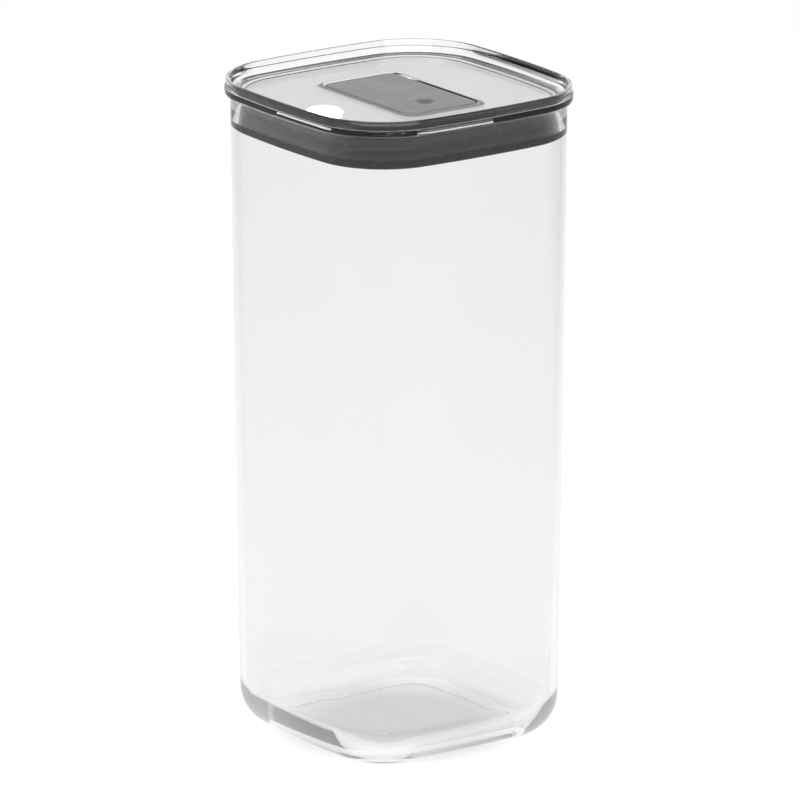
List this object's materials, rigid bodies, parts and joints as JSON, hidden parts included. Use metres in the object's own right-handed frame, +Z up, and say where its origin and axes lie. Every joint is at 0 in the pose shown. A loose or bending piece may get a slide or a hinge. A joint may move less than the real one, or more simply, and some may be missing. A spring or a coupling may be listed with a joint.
{
  "type": "storage canister",
  "caption": "Tall square glass food canister with rounded edges and a clear push-in lid; a flush rocking lever works a dark silicone seal.",
  "frame": {"origin": "centre of the jar's base, on the surface that it stands on", "axes": "+Z up the jar; -Y is the side of the lid with the thumb dimple; +X to the right, seen from the dimple side"},
  "size_m": [0.105, 0.105, 0.235],
  "materials": {
    "clear_glass": "clear, colourless, polished",
    "clear_plastic": "clear, colourless, polished",
    "light_plastic": "satin light grey",
    "dark_plastic": "satin near-black",
    "dark_silicone": "semi-gloss dark grey",
    "grey_plastic": "satin mid grey",
    "pin_steel": "drawn stainless"
  },
  "bodies": {
    "jar": {"jar": "clear_glass"},
    "lid": {"lid_cover": "clear_plastic", "panel": "light_plastic", "lever_well": "dark_plastic", "seal_carrier": "dark_plastic", "silicone_gasket": "dark_silicone", "rim_pad": "dark_silicone", "pivot_pin": "pin_steel"},
    "lever": {"lever": "grey_plastic"},
    "spreader": {"spreader": "dark_plastic", "cross_pin": "pin_steel"}
  },
  "joints": [
    {"name": "lid_lift", "type": "slide", "parent": "jar", "child": "lid", "axis": [0, 0, 1], "range_m": [0, 0.04]},
    {"name": "lever_tip", "type": "hinge", "parent": "lid", "child": "lever", "pos_m": [0, -0.004, 0.2242], "axis": [1, 0, 0], "range_deg": [0, 24]},
    {"name": "spreader_lift", "type": "slide", "parent": "lid", "child": "spreader", "axis": [0, 0, 1], "range_m": [0, 0.0018]}
  ],
  "couplings": [
    {"joint": "spreader_lift", "follows": "lever_tip", "m_per_rad": 0.004252}
  ]
}
